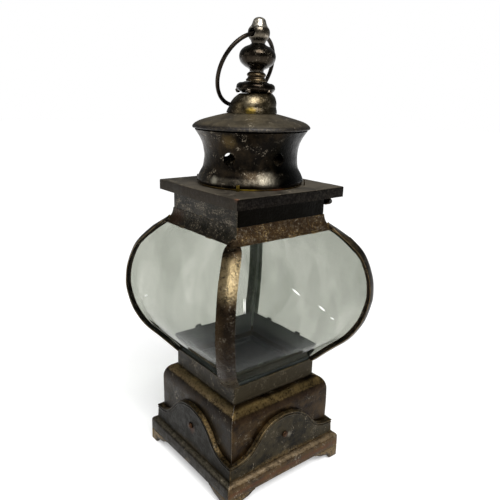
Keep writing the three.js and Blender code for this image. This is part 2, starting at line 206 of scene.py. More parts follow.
def drill(target, holes, radius, length, sharp=35):
    """cuts round holes along the local Z of each matrix in holes"""
    cutters = []
    for place in holes:
        bm = bmesh.new()
        bmesh.ops.create_cone(bm, cap_ends=True, segments=40, radius1=radius, radius2=radius, depth=length,
                              matrix=place)
        mesh = bpy.data.meshes.new("cutter")
        bm.to_mesh(mesh)
        bm.free()
        mesh.transform(Matrix.Scale(MM, 4))
        cutter = bpy.data.objects.new("cutter", mesh)
        bpy.context.scene.collection.objects.link(cutter)
        mod = target.modifiers.new("hole", "BOOLEAN")
        mod.object = cutter
        mod.solver = "EXACT"
        cutters.append(cutter)
    bpy.context.view_layer.update()
    cut = target.evaluated_get(bpy.context.evaluated_depsgraph_get())
    mesh = bpy.data.meshes.new_from_object(cut)
    target.modifiers.clear()
    target.data = mesh
    mesh.set_sharp_from_angle(angle=math.radians(sharp))
    for cutter in cutters:
        bpy.data.objects.remove(cutter)


def quarter(k):
    """turns the front side to side k"""
    return Matrix.Rotation(k * math.pi / 2, 4, "Z")


# ------------------------------------------------------------------ materials
class Tree:
    """a short way to write a material's nodes"""

    def __init__(self, name):
        self.mat = bpy.data.materials.new(name)
        self.mat.use_nodes = True
        self.nt = self.mat.node_tree
        self.bsdf = self.nt.nodes["Principled BSDF"]
        self.object = self.add("ShaderNodeTexCoord").outputs["Object"]

    def add(self, kind, inputs=None, **settings):
        node = self.nt.nodes.new(kind)
        for key, value in settings.items():
            setattr(node, key, value)
        for key, value in (inputs or {}).items():
            self.put(node.inputs[key], value)
        return node

    def put(self, socket, value):
        if isinstance(value, bpy.types.NodeSocket):
            self.nt.links.new(value, socket)
        else:
            socket.default_value = value

    def math(self, operation, a, b=0.0, clamp=False):
        node = self.add("ShaderNodeMath", operation=operation, use_clamp=clamp)
        self.put(node.inputs[0], a)
        self.put(node.inputs[1], b)
        return node.outputs[0]

    def noise(self, scale, detail=4.0, rough=0.6, warp=0.0, seed=0.0, stretch=None):
        where = self.add("ShaderNodeMapping", {"Vector": self.object, "Location": (seed, seed * 1.7, -seed),
                                               "Scale": stretch or (1, 1, 1)}).outputs[0]
        return self.add("ShaderNodeTexNoise", {"Vector": where, "Scale": scale, "Detail": detail,
                                               "Roughness": rough, "Distortion": warp}).outputs["Fac"]

    def step(self, value, low, high, top=1.0, bottom=0.0):
        """value brought from low..high to bottom..top, smoothly"""
        return self.add("ShaderNodeMapRange", {0: value, 1: low, 2: high, 3: bottom, 4: top},
                        interpolation_type="SMOOTHSTEP").outputs[0]

    def mix(self, amount, a, b):
        node = self.add("ShaderNodeMix", data_type="RGBA")
        self.put(node.inputs["Factor"], amount)
        self.put(node.inputs[6], (*a, 1) if isinstance(a, tuple) else a)
        self.put(node.inputs[7], (*b, 1) if isinstance(b, tuple) else b)
        return node.outputs[2]

    def blend(self, amount, a, b):
        node = self.add("ShaderNodeMix", data_type="FLOAT")
        for socket, value in zip((node.inputs[0], node.inputs[2], node.inputs[3]), (amount, a, b)):
            self.put(socket, value)
        return node.outputs[0]


def toward(t, direction, low, high):
    """how far the surface faces a direction, in the piece's own frame"""
    normal = t.add("ShaderNodeTexCoord").outputs["Normal"]
    dot = t.add("ShaderNodeVectorMath", {0: normal, 1: direction}, operation="DOT_PRODUCT").outputs["Value"]
    return t.step(dot, low, high)


def spot(t, centre, radius, seed):
    """a ragged round patch"""
    away = t.add("ShaderNodeVectorMath", {0: t.object, 1: tuple(c * MM for c in centre)},
                 operation="DISTANCE").outputs["Value"]
    ragged = t.math("MULTIPLY", t.noise(320, seed=seed), radius * MM * 0.9)
    return t.step(t.math("ADD", away, ragged), radius * MM * 0.7, radius * MM * 1.5, 0.0, 1.0)


BLACK, DARK, BROWN = (0.004, 0.003, 0.0025), (0.011, 0.008, 0.005), (0.042, 0.028, 0.014)
BRASS, PALE, RUST = (0.30, 0.20, 0.085), (0.235, 0.195, 0.138), (0.12, 0.04, 0.016)


def aged(name, dark=DARK, mid=BROWN, bright=BRASS, dust=PALE, brass=0.3, dusty=0.2, edge=0.5, rough=0.40,
         metal=0.96, blotch=30.0, grain=520.0, seed=0.0, bump=0.35, streaks=1.0, spots=(), faces=(),
         bands=()):
    """patinated metal: dark and brown blotches, brass worn through on edges and in patches, pale specks.
    spots are (centre, radius, colour, amount): stains and rust, and on some materials painted highlights;
    faces are (direction, colour, amount): painted light and shade on the sides that face a direction;
    bands are (low, high, colour, amount) by height: tone and rust, and on some materials painted highlights
    and painted shade"""
    t = Tree(name)
    large = t.noise(blotch, 5, 0.62, 0.4, seed)
    medium = t.noise(blotch * 5, 4, 0.65, 0.2, seed + 3)
    fine = t.noise(grain, 3, 0.7, 0.0, seed + 7)
    finer = t.noise(grain * 1.7, 2, 0.6, 0.0, seed + 11, (1, 1, streaks))
    clouds = t.noise(blotch * 4, 5, 0.75, 0.6, seed + 17, (1, 1, streaks))
    tone = t.math("ADD", t.math("MULTIPLY", large, 0.6), t.math("MULTIPLY", medium, 0.4))
    colour = t.mix(t.step(tone, 0.38, 0.62), dark, mid)
    point = t.add("ShaderNodeNewGeometry").outputs["Pointiness"]
    ridge = t.math("ADD", point, t.math("MULTIPLY", fine, 0.05))
    worn_edge = t.math("MULTIPLY", t.step(ridge, 0.545, 0.60), edge)
    gritty = t.math("ADD", t.math("MULTIPLY", fine, 0.7), t.math("MULTIPLY", medium, 0.3))
    worn_edge = t.math("MULTIPLY", worn_edge, t.step(gritty, 0.40, 0.56, 1.0, 0.15))
    patch = t.math("ADD", t.math("MULTIPLY", large, 0.4), t.math("MULTIPLY", medium, 0.2))
    patch = t.math("ADD", patch, t.math("MULTIPLY", fine, 0.4))
    patch = t.step(patch, 0.64 - 0.16 * brass, 0.74 - 0.16 * brass)
    worn = t.math("MAXIMUM", worn_edge, t.math("MULTIPLY", patch, min(1.0, brass * 2)))
    colour = t.mix(worn, colour, bright)
    cloudy = t.step(clouds, 0.60 - 0.20 * dusty, 0.72 - 0.20 * dusty)
    specks = t.math("MULTIPLY", t.step(finer, 0.50, 0.60), cloudy)
    specks = t.math("MULTIPLY", specks, min(1.0, 0.45 + dusty))
    colour = t.mix(specks, colour, dust)
    # spots paint stains and rust, and on some materials a painted highlight
    for k, (centre, radius, tint, amount) in enumerate(spots):
        colour = t.mix(t.math("MULTIPLY", spot(t, centre, radius, seed + k), amount), colour, tint)
    height = t.add("ShaderNodeSeparateXYZ", {0: t.object}).outputs[2]
    height = t.math("ADD", height, t.math("MULTIPLY", t.math("SUBTRACT", fine, 0.5), 0.0022))
    # bands paint colour by height, on some materials a painted highlight and painted shade
    for low, high, tint, amount in bands:
        middle, half = (low + high) / 2 * MM, (high - low) / 2 * MM
        away = t.math("ABSOLUTE", t.math("SUBTRACT", height, middle))
        part = t.math("MULTIPLY", t.step(away, half * 0.6, half * 1.2, 0.0, amount),
                      t.step(gritty, 0.40, 0.55, 1.0, 0.4))
        colour = t.mix(part, colour, tint)
    metallic = t.blend(worn, metal, min(1.0, metal + 0.1))
    metallic = t.math("SUBTRACT", metallic, t.math("MULTIPLY", specks, 0.7), True)
    # faces paint light and shade by the way a surface faces: painted light and painted shade
    for direction, tint, amount in faces:
        ragged = t.step(fine, 0.3, 0.6, amount, amount * 0.8)
        part = t.math("MULTIPLY", toward(t, direction, 0.5, 0.92), ragged, True)
        colour = t.mix(part, colour, tint)
        metallic = t.blend(part, metallic, 1.0)
    t.put(t.bsdf.inputs["Base Color"], colour)
    t.put(t.bsdf.inputs["Metallic"], metallic)
    dull = t.step(medium, 0.3, 0.7, rough + 0.10, rough - 0.08)
    dull = t.math("ADD", dull, t.math("MULTIPLY", specks, 0.25))
    t.put(t.bsdf.inputs["Roughness"], t.math("SUBTRACT", dull, t.math("MULTIPLY", worn, 0.08), True))
    relief = t.math("ADD", t.math("MULTIPLY", medium, 0.8), t.math("MULTIPLY", fine, 0.5))
    bumps = t.add("ShaderNodeBump", {"Strength": bump, "Distance": 0.0009, "Height": relief})
    t.put(t.bsdf.inputs["Normal"], bumps.outputs[0])
    return t.mat


def streak(t, centre, tilt, length, width, facing):
    """a short light streak on a pane, for scratches and for painted reflections of a lamp:
    centre in millimetres, tilt in degrees from level
    """
    place = t.object
    for socket, value in (("Location", tuple(-c * MM for c in centre)),
                          ("Rotation", (0, 0, 0) if facing == "y" else (0, 0, -math.pi / 2)),
                          ("Rotation", (0, math.radians(tilt), 0)),
                          ("Scale", (2 / (length * MM), 40, 2 / (width * MM)))):
        place = t.add("ShaderNodeMapping", {"Vector": place, socket: value}).outputs[0]
    away = t.add("ShaderNodeVectorMath", {0: place}, operation="LENGTH").outputs["Value"]
    return t.step(away, 0.5, 1.1, 0.0, 1.0)


def clear_glass(name, seed, scratches_and_glints=(), facing="y", tint_scale=1.0):
    """bent pane: faint grey-green tint, slow waves, milky smears that are dirt and also a painted
    reflection, and light streaks that are scratches and painted reflections of a lamp
    """
    t = Tree(name)
    # smears and wipes lighten the tint: dirt on the glass, and a painted milky reflection
    smear_and_reflection = t.step(t.noise(17, 4, 0.55, 1.2, seed, (1, 1, 0.5)), 0.46, 0.72)
    wipe_and_reflection = t.step(t.noise(9, 2, 0.4, 0.2, seed + 5, (2.4, 2.4, 1.1)), 0.46, 0.56)
    haze_and_reflection = t.math("ADD", t.math("MULTIPLY", smear_and_reflection, 0.004), t.math("MULTIPLY", wipe_and_reflection, 0.002))
    # light streaks, painted near white and less clear: scratches, and painted reflections of a lamp
    marks = 0.0
    for mark in scratches_and_glints:
        marks = t.math("MAXIMUM", streak(t, *mark, facing), marks)
    haze_and_reflection = t.math("MAXIMUM", haze_and_reflection, t.math("MULTIPLY", marks, 0.8))
    low, high = (0.57, 0.585, 0.54), (0.71, 0.72, 0.675)
    tint = t.mix(t.math("ADD", t.math("MULTIPLY", smear_and_reflection, 0.5), t.math("MULTIPLY", wipe_and_reflection, 0.5)),
                 tuple(v * tint_scale for v in low), tuple(v * tint_scale for v in high))
    colour = t.mix(marks, tint, (0.95, 0.95, 0.93))
    t.put(t.bsdf.inputs["Base Color"], colour)
    t.put(t.bsdf.inputs["Transmission Weight"], t.math("SUBTRACT", 1.0, haze_and_reflection))
    t.put(t.bsdf.inputs["IOR"], 1.11)
    t.put(t.bsdf.inputs["Specular IOR Level"], 0.3)
    t.put(t.bsdf.inputs["Roughness"], t.blend(smear_and_reflection, 0.01, 0.05))
    swell = t.noise(34, 2, 0.5, 0.3, seed)
    waves = t.add("ShaderNodeBump", {"Strength": 0.1, "Distance": 0.001, "Height": swell})
    t.put(t.bsdf.inputs["Normal"], waves.outputs[0])
    clear = t.add("ShaderNodeBsdfTransparent", {"Color": (0.88, 0.9, 0.87, 1)})
    pick = t.add("ShaderNodeMixShader", {0: t.add("ShaderNodeLightPath").outputs["Is Shadow Ray"],
                                         1: t.bsdf.outputs[0], 2: clear.outputs[0]})
    t.put(t.nt.nodes["Material Output"].inputs["Surface"], pick.outputs[0])
    return t.mat


# ------------------------------------------------------------------ dimensions read from the frame
rail_low, rail_high = span("plinth_rail_front")
panel_low, panel_high = span("base_panel_front")
apron_low, apron_high = span("apron_front")
neck_low, neck_high = span("lower_neck")
tray_low, tray_high = span("candle_tray")
lip_low, lip_high = span("lower_skirt_front")
eave_low, eave_high = span("upper_skirt_front")
collar_low, collar_high = span("upper_neck")
lid_low, lid_high = span("lid_plate")
PLINTH, BASE, APRON = -rail_low.y, -panel_low.y, -apron_low.y
NECK, COLLAR, LIDTOP = -neck_low.y, -collar_low.y, lid_high.z
LEAN = math.radians(51.7)
WAY = Vector((math.cos(LEAN), math.sin(LEAN), 0))
LID_AT = Matrix.Translation(WAY * 1.5)
STACK = (Matrix.Translation(WAY * 3.8 + Vector((0, 0, 342.55)))
         @ Matrix.Rotation(math.radians(2), 4, Vector((-WAY.y, WAY.x, 0))))

# (distance out, height) of the globe, the panes and the ribs
GLOBE = [(48.6, 111.4), (58.9, 123.4), (69.2, 134.8), (75.4, 146), (79.4, 157.5), (82.1, 172.5),
         (82.3, 182), (81.2, 194), (77.8, 208.4), (72.9, 220)]
PANE = spline(GLOBE + [(62.4, 234), (51, 244.5)], 4)
RIB = spline([(46.4, 108.8)] + GLOBE + [(62.6, 234), (56.8, 241), (52.5, 246.8)], 6)

# ------------------------------------------------------------------ plinth
RAIL_MID = (0.020, 0.0155, 0.009)
# rail_front: front face darkened (painted shade), rounded top edge lightened (painted highlight);
# rail_right is a lighter, golden copy with a bright top edge: painted light; its low reddish band is rust
rail_metal = [
    aged("rail_front", mid=RAIL_MID, brass=0.2, dusty=0.35, rough=0.5, seed=0,
         faces=[((0, -1, 0), (0.008, 0.006, 0.003), 0.5)], bands=[(24.2, 28, (0.16, 0.14, 0.10), 0.6)]),
    aged("rail_right", dark=(0.03, 0.02, 0.012), mid=(0.090, 0.054, 0.022), bright=(0.30, 0.19, 0.08),
         brass=0.5, dusty=0.4, rough=0.5, seed=1,
         bands=[(23.6, 28, (0.27, 0.20, 0.12), 0.7), (15, 19, (0.10, 0.035, 0.016), 0.5)]),
    aged("rail_back", mid=RAIL_MID, brass=0.25, dusty=0.35, rough=0.5, seed=2),
    aged("rail_left", mid=RAIL_MID, brass=0.25, dusty=0.35, rough=0.5, seed=3)]
ROUND = 4.5
corner = [Vector((PLINTH - ROUND + ROUND * math.cos(a), rail_high.z - ROUND + ROUND * math.sin(a)))
          for a in (k * math.pi / 20 for k in range(11))]
rail = [Vector((PLINTH, rail_low.z)), Vector((PLINTH, rail_low.z + 5)), *corner,
        Vector((-rail_high.y, rail_high.z))]
for k, side in enumerate(SIDES):
    piece(f"rail_{side}", sheet_panel(rail, 1.5, 0.1, 30), rail_metal[k], ROOT,
          [f"plinth_rail_{side}"], quarter(k), bevel=0.35, wobble=0.25)

foot_metal = aged("feet", mid=(0.05, 0.038, 0.024), brass=0.2, dusty=0.3, rough=0.5, seed=4.2)


def foot_wing(thick):
    """half of a corner foot, with a scrolled inner end"""
    top = rail_low.z - 0.3
    scroll = [(9, 0), (11.2, 1.2), (12.6, 3.6), (15, 5.6), (19, 6.6), (22.5, 7.2), (25.6, 8.6),
              (28.6, 10.4), (31, top - 1)]
    scroll = spline([(PLINTH - x, z) for x, z in scroll], 3)
    outline = [(PLINTH, 0), (PLINTH, top), (PLINTH - 31, top)] + [tuple(p) for p in reversed(scroll)]
    return prism(outline, PLINTH - thick, PLINTH, "y")


MIRROR = Matrix(((0, -1, 0, 0), (-1, 0, 0, 0), (0, 0, 1, 0), (0, 0, 0, 1)))
for k, where in enumerate(CORNERS):
    piece(f"foot_{where}_a", foot_wing(3), foot_metal, ROOT, [f"corner_foot_{where}"],
          quarter(k), bevel=0.6)
    verts, faces = foot_wing(3)
    cut = [Vector((min(v.x, PLINTH - 3.05), v.y, v.z)) for v in verts]
    piece(f"foot_{where}_b", (cut, faces), foot_metal, ROOT, [], quarter(k) @ MIRROR,
          bevel=0.6)

# ------------------------------------------------------------------ base body
# base_front is a darker copy and base_right a lighter one: painted shade and painted light by side; on
# both, the golden band high on the moulding is a painted highlight, the dark band below it painted shade
base_metal = [
    aged("base_front", dark=(0.006, 0.004, 0.002), mid=(0.028, 0.018, 0.0075), brass=0.22, dusty=0.25,
         rough=0.40, seed=10, blotch=22,
         bands=[(85, 92, (0.26, 0.185, 0.09), 0.6), (76, 84, (0.012, 0.007, 0.004), 0.5)]),
    aged("base_right", dark=(0.009, 0.005, 0.0025), mid=(0.052, 0.031, 0.012), brass=0.34, dusty=0.22,
         rough=0.34, seed=11,
         blotch=22, bands=[(77, 83, (0.012, 0.005, 0.003), 0.6), (83.5, 89.5, (0.26, 0.18, 0.07), 0.55)]),
    aged("base_back", brass=0.25, dusty=0.25, rough=0.42, seed=12, blotch=22),
    aged("base_left", brass=0.25, dusty=0.25, rough=0.42, seed=13, blotch=22)]
MOULD_RUN, MOULD_RISE = BASE - NECK - 0.3, 15.8
curve = [Vector((BASE - MOULD_RUN * (1 - math.cos(a)), panel_high.z - MOULD_RISE * (1 - math.sin(a))))
         for a in (k * math.pi / 28 for k in range(15))]
body_line = [Vector((BASE, panel_low.z + k * (panel_high.z - MOULD_RISE - panel_low.z) / 8))
             for k in range(8)]
body_line += [*curve, Vector((-panel_high.y, panel_high.z))]
for k, side in enumerate(SIDES):
    piece(f"base_{side}", sheet_panel(body_line, 1.2, 0.12, 40), base_metal[k], ROOT,
          [f"base_panel_{side}"], quarter(k), bevel=0.3, wobble=0.45)

# ------------------------------------------------------------------ aprons with a turned rim
OLIVE = {"dark": (0.0025, 0.002, 0.001), "mid": (0.0095, 0.0078, 0.0042), "rough": 0.46, "dusty": 0.2,
         "brass": 0.14, "edge": 0.32}
# SHADE darkens the front face of the front apron: painted shade; apron_right is a lighter, dustier copy:
# painted light on the side toward the lamps
SHADE = ((0, -1, 0), (0.006, 0.0045, 0.002), 0.75)
apron_metal = [
    aged("apron_front", **OLIVE, seed=20, faces=[SHADE],
         spots=[((2.5, -65, 48.5), 6.5, RUST, 0.85), ((3.6, -65, 50.5), 2.2, BLACK, 0.9)]),
    aged("apron_right", **{**OLIVE, "mid": (0.040, 0.032, 0.018), "dusty": 0.3}, seed=21,
         spots=[((65, 5.5, 48.0), 4.0, (0.22, 0.20, 0.16), 0.6), ((65, 3.0, 47.5), 2.0, BLACK, 0.8)]),
    aged("apron_back", **OLIVE, seed=22), aged("apron_left", **OLIVE, seed=23)]
VALLEY, CREST = 41.6, apron_high.z
half_wave = spline([(72, VALLEY), (60, VALLEY), (50, VALLEY + 1.2), (40.5, VALLEY + 6), (28, VALLEY + 19.6),
                    (15, VALLEY + 28), (0, CREST)], 9)
half_wave = [p for p in half_wave if p.x < APRON - 0.6]
half_wave = [Vector((APRON - 0.2, VALLEY))] + half_wave
wave = half_wave + [Vector((-p.x, p.y)) for p in reversed(half_wave[:-1])]


def inset(distance):
    """the crest line moved down into the plate, its ends kept on the mitre"""
    line = offset(wave, distance)
    return [Vector((max(-APRON + 0.2, min(APRON - 0.2, p.x)), p.y)) for p in line]


def apron_sheet():
    """the plate below the wave, with a rim turned out and back along it"""
    back = BASE + 0.3
    rim = [(0, APRON - back), (0, 1.1), (0.25, 0.35), (0.8, 0), (1.4, 0.1), (1.9, 0.65), (2.3, 0.7),
           (2.7, 0.2), (3.3, 0.05), (3.9, 0.45), (4.6, 0.5)]
    rows, under = [], []
    for i, (down, deep) in enumerate(rim):
        top, below = inset(down), inset(1.2 + down * 0.8)
        rows.append([Vector((p.x, deep - APRON, p.y)) for p in top])
        under.append([Vector((p.x, -(back if i == 0 else APRON - 1.9), p.y)) for p in below])
    last, last_under = rows[-1], under[-1]
    for i in range(1, 7):
        f = i / 6
        rows.append([Vector((p.x, -(APRON - 0.5 + 0.5 * f), p.z + (apron_low.z - p.z) * f)) for p in last])
        under.append([Vector((p.x, -(APRON - 1.9 + 0.5 * f), p.z + (apron_low.z - p.z) * f))
                      for p in last_under])

    def trim(grid):
        return [[Vector((max(p.y + 0.2, min(-p.y - 0.2, p.x)), p.y, p.z)) for p in row] for row in grid]
    return shell(trim(rows), trim(under))


rivet_metal = aged("rivets", mid=(0.05, 0.026, 0.014), bright=(0.16, 0.07, 0.03), brass=0.4, seed=25,
                   rough=0.5)
for k, side in enumerate(SIDES):
    piece(f"apron_{side}", apron_sheet(), apron_metal[k], ROOT, [f"apron_{side}"],
          quarter(k), wobble=0.2, sharp=50)
    low, high = span("apron_rivet_front")
    mid_z, seat = (low.z + high.z) / 2, APRON + 0.1
    dome = [(0.05, seat - 3), (1.5, seat - 3), (1.5, seat), (3.1, seat), (3.2, seat + 0.4)]
    dome += [(3.2 * math.cos(a), seat + 0.4 + 1.3 * math.sin(a))
             for a in (j * math.pi / 16 for j in range(1, 8))]
    dome += [(0.05, seat + 1.7)]
    stand = Matrix.Translation((0, 0, mid_z)) @ Matrix.Rotation(math.pi / 2, 4, "X")
    piece(f"rivet_{side}", turned(dome, 28), rivet_metal, ROOT, [f"apron_rivet_{side}"],
          quarter(k) @ stand)

# ------------------------------------------------------------------ necks, tray and skirts
def square_tube(half, wall, low, high, rows=8, cols=28, soft=1.6):
    """a folded square tube with softly rounded corners, inner and outer skins"""
    def ring(h, r, z):
        points = []
        for q in range(4):
            straight = [Vector((h, -(h - r) + 2 * (h - r) * c / cols, z)) for c in range(cols + 1)]
            bend = [Vector((h - r + r * math.cos(b), h - r + r * math.sin(b), z)) for b in
                    (math.pi / 2 * j / 5 for j in range(1, 5))]
            m = Matrix.Rotation(q * math.pi / 2, 4, "Z")
            points += [m @ p for p in straight + bend]
        return points
    outer = [ring(half, soft, low + (high - low) * r / rows) for r in range(rows + 1)]
    inner = [ring(half - wall, max(soft - wall, 0.3), low + (high - low) * r / rows)
             for r in range(rows + 1)]
    return shell(outer, inner, wrap=True)


# faces: the right side painted lighter and the front darker: painted light and painted shade
neck_metal = aged("neck", dark=(0.007, 0.006, 0.004), mid=(0.026, 0.022, 0.016), brass=0.16, dusty=0.5,
                  rough=0.44, seed=30, blotch=26, faces=[((1, 0, 0), (0.036, 0.028, 0.015), 0.7),
                                             ((0, -1, 0), (0.016, 0.013, 0.008), 0.4)],
                  bands=[(90, 94, (0.10, 0.085, 0.06), 0.5), (106.5, 109, (0.10, 0.085, 0.06), 0.4)])
piece("neck", square_tube(NECK, 1.2, neck_low.z, neck_high.z), neck_metal, ROOT,
      ["lower_neck"], bevel=0.3, wobble=0.3)
# faces: the right side painted near black: painted shade; the lid sleeve uses this material too
collar_metal = aged("collar", dark=(0.010, 0.009, 0.007), mid=(0.042, 0.038, 0.030), brass=0.06,
                    dusty=0.65, rough=0.42, seed=31, blotch=24, bump=0.55, streaks=2.2,
                    faces=[((1, 0, 0), (0.003, 0.0025, 0.0015), 1.3)])
piece("collar", square_tube(COLLAR, 1.2, collar_low.z, collar_high.z), collar_metal, ROOT,
      ["upper_neck"], bevel=0.3, wobble=0.35)

# the tray's near-black blue colours stand in for the shade down in the well: painted shade
tray_metal = aged("tray", dark=(0.003, 0.004, 0.005), mid=(0.007, 0.009, 0.010),
                  bright=(0.02, 0.022, 0.022), brass=0.1, dusty=0.05, rough=0.5, seed=32, metal=0.5)


def tray():
    """a square pan with round corners"""
    def outline(h, z, r=3.0):
        return [Vector((sx * (h - r) + r * math.cos(a), sy * (h - r) + r * math.sin(a), z))
                for sx, sy, a0 in ((1, 1, 0), (-1, 1, 1), (-1, -1, 2), (1, -1, 3))
                for a in ((a0 + j / 6) * math.pi / 2 for j in range(7))]
    half, low, high, wall = -tray_low.x, tray_low.z, tray_high.z, 1.2
    rings = [outline(half - 1, low), outline(half - 0.2, low + 0.6), outline(half, low + 2),
             outline(half, high - 0.3), outline(half - 0.4, high), outline(half - wall, high - 0.2, 2.2),
             outline(half - wall, low + 2.4, 2.2), outline(half - wall - 1.2, low + wall, 2.2)]
    return loops(rings, closed=False, ends=True)


piece("tray", tray(), tray_metal, ROOT, ["candle_tray"], wobble=0.2)

skirt_metal = aged("inner_skirts", dark=(0.022, 0.025, 0.024), mid=(0.050, 0.056, 0.053),
                   bright=(0.10, 0.105, 0.10),
                   brass=0.15, dusty=0.1, rough=0.45, metal=0.5, seed=33, edge=0.3, bump=0.2)
foot_half, lip_half = 46.4, -lip_low.y
skirt_line = ([Vector((foot_half, z)) for z in (104, 107, 110, 112)]
              + [Vector((foot_half + (lip_half - foot_half) * f, 112 + 11.5 * f))
                 for f in (0.25, 0.5, 0.75, 1)])


def tab(x, half, low, high):
    """a small upright tab with clipped corners"""
    outline = [(x - 3.6, low), (x + 3.6, low), (x + 3.2, high - 0.6), (x + 2.4, high), (x - 2.4, high),
               (x - 3.2, high - 0.6)]
    return prism(outline, half - 0.5, half + 0.5, "y")


for k, side in enumerate(SIDES):
    piece(f"inner_skirt_{side}", sheet_panel(skirt_line, 1.2, 1.7, 24), skirt_metal, ROOT,
          [f"lower_skirt_{side}"], quarter(k), bevel=0.3, wobble=0.35)
    for j, x in enumerate((-22, 22)):
        piece(f"inner_tab_{side}_{j}", tab(x, lip_half - 0.7, 122, 126.2), skirt_metal, ROOT,
              [], quarter(k), bevel=0.2)

# eave_right is a lighter, golden copy: painted light on the side toward the lamps
eave_metal = [
    aged("eave_front", dark=(0.010, 0.009, 0.006), mid=(0.036, 0.030, 0.020), brass=0.14, dusty=0.5,
         seed=40, bump=0.6, blotch=75, grain=700, spots=[((-40, -54, 246), 15, (0.05, 0.022, 0.010), 0.7)]),
    aged("eave_right", dark=(0.030, 0.017, 0.008), mid=(0.060, 0.036, 0.015), bright=(0.42, 0.29, 0.13),
         brass=0.62, dusty=0.5, seed=41, bump=1.0, rough=0.40, blotch=75, grain=800),
    aged("eave_back", brass=0.25, dusty=0.35, seed=42, bump=0.5, blotch=40),
    aged("eave_left", brass=0.25, dusty=0.35, seed=43, bump=0.5, blotch=40)]


def eave():
    """a coved strip that meets its neighbours at the corners"""
    line = [(-eave_low.y, 241.2), (54.5, 243.4), (52.1, 246.6), (50.7, 250.4), (COLLAR + 0.25, 254.6)]
    return sheet_panel(spline(line, 4), 1.2, 0, 30)


for k, side in enumerate(SIDES):
    piece(f"eave_{side}", eave(), eave_metal[k], ROOT, [f"upper_skirt_{side}"], quarter(k),
          bevel=0.3, wobble=0.25)

EAVE_TABS = [(-24, 19), (6, 33), (-20, 18), (-24, 22)]
for k, side in enumerate(SIDES):
    for j, x in enumerate(EAVE_TABS[k]):
        outline = [(x - 4.4, 240.2), (x + 3.6, 240.4), (x + 4.6, 242.4), (x - 4.9, 242.4)]
        verts, faces = prism(outline, -eave_low.y - 1.4, -eave_low.y - 0.2, "y")
        verts = [v + Vector((0, (v.z - 241.2) * 0.6, 0)) for v in verts]
        piece(f"eave_tab_{side}_{j}", (verts, faces), eave_metal[k], ROOT, [], quarter(k),
              bevel=0.3)

# ------------------------------------------------------------------ glass and ribs
# (centre, tilt from level, length, width) of light streaks on the two panes in front: scratches,
# and painted reflections of a lamp in the three slanted streaks low on the right pane
SCRATCHES_AND_GLINTS = {
    "front": [((-50, -81, 172), 35, 8, 0.9)],
    "right": [((82, -9, 200), -45, 12, 1.3), ((82, 21, 179), -42, 12, 1.5), ((80, 37, 165), -38, 7, 1.2),
              ((82, -63.5, 200), 82, 14, 1.0)],
}
for k, side in enumerate(SIDES):
    facing = "y" if side in ("front", "back") else "x"
    # the right pane's tint is made darker
    tint_scale = 0.9 if side == "right" else 1.0
    glass = clear_glass(f"glass_{side}", k * 2.3, SCRATCHES_AND_GLINTS.get(side, ()), facing, tint_scale)
    piece(f"pane_{side}", sheet_panel(PANE, 2.0, 1.75, 30), glass, ROOT, [f"glass_{side}"],
          quarter(k), bevel=0.25)

rib_metal = [
    # rib_near: golden band high up and pale band at the foot are painted highlights; the dark band between
    # them and the darker left face are painted shade
    aged("rib_near", dark=(0.010, 0.007, 0.004), mid=(0.044, 0.028, 0.014), bright=(0.34, 0.24, 0.11),
         brass=0.38, dusty=0.35, rough=0.30, seed=50, blotch=34, grain=640, bump=0.9,
         faces=[((-0.25, -0.97, 0), (0.035, 0.022, 0.010), 0.75)],
         bands=[(206, 236, (0.44, 0.34, 0.18), 0.42), (136, 206, (0.009, 0.006, 0.004), 0.82),
                (106, 134, (0.22, 0.19, 0.14), 0.6)]),
    aged("rib_right", dark=(0.010, 0.008, 0.006), mid=(0.036, 0.028, 0.018), brass=0.2, dusty=0.3,
         rough=0.38, seed=51, blotch=34, bands=[(226, 250, (0.12, 0.085, 0.045), 0.5)]),
    # rib_far is a pale grey copy: a painted reflection of the milky panes in front of it
    aged("rib_far", metal=0.3, dark=(0.09, 0.098, 0.09), mid=(0.19, 0.205, 0.19),
         bright=(0.34, 0.35, 0.32), brass=0.2, dusty=0.3, rough=0.4, seed=52, blotch=34),
    aged("rib_left", dark=(0.010, 0.009, 0.007), mid=(0.034, 0.030, 0.023), brass=0.12, dusty=0.3,
         rough=0.38, seed=53, blotch=34)]
# (half width, height) where a rib runs out into a pointed tongue
TONGUE = [(7.7, 236.5), (7.0, 239.4), (4.6, 243.2), (0.6, 246.8)]
# (distance from the middle along the diagonal, height) that a rib stays inside, at its foot and at its top
ENVELOPE = [(70.6, neck_high.z + 0.3), (77.2, 114), (86, 120.8), (100, 121)]
TOP = [(120, 233), (94.9, 233.8), (88.5, 237.4), (82.6, 241.2), (79, 243.4), (76.6, 245.2), (75.1, 246.8),
       (72.6, 252)]


def tongue_half(z):
    """half the width of a rib at that height"""
    for (w0, z0), (w1, z1) in zip(TONGUE, TONGUE[1:]):
        if z0 <= z <= z1:
            return w0 + (w1 - w0) * (z - z0) / (z1 - z0)
    return TONGUE[0][0] if z < TONGUE[0][1] else TONGUE[-1][0]


def limit(z):
    """how far out a rib may reach at that height"""
    for table in (ENVELOPE, TOP):
        for (u0, z0), (u1, z1) in zip(table, table[1:]):
            if z0 <= z <= z1:
                return u0 + (u1 - u0) * (z - z0) / (z1 - z0)
    return 200.0


RIB_EDGE, WEB = 0.8, 0.85


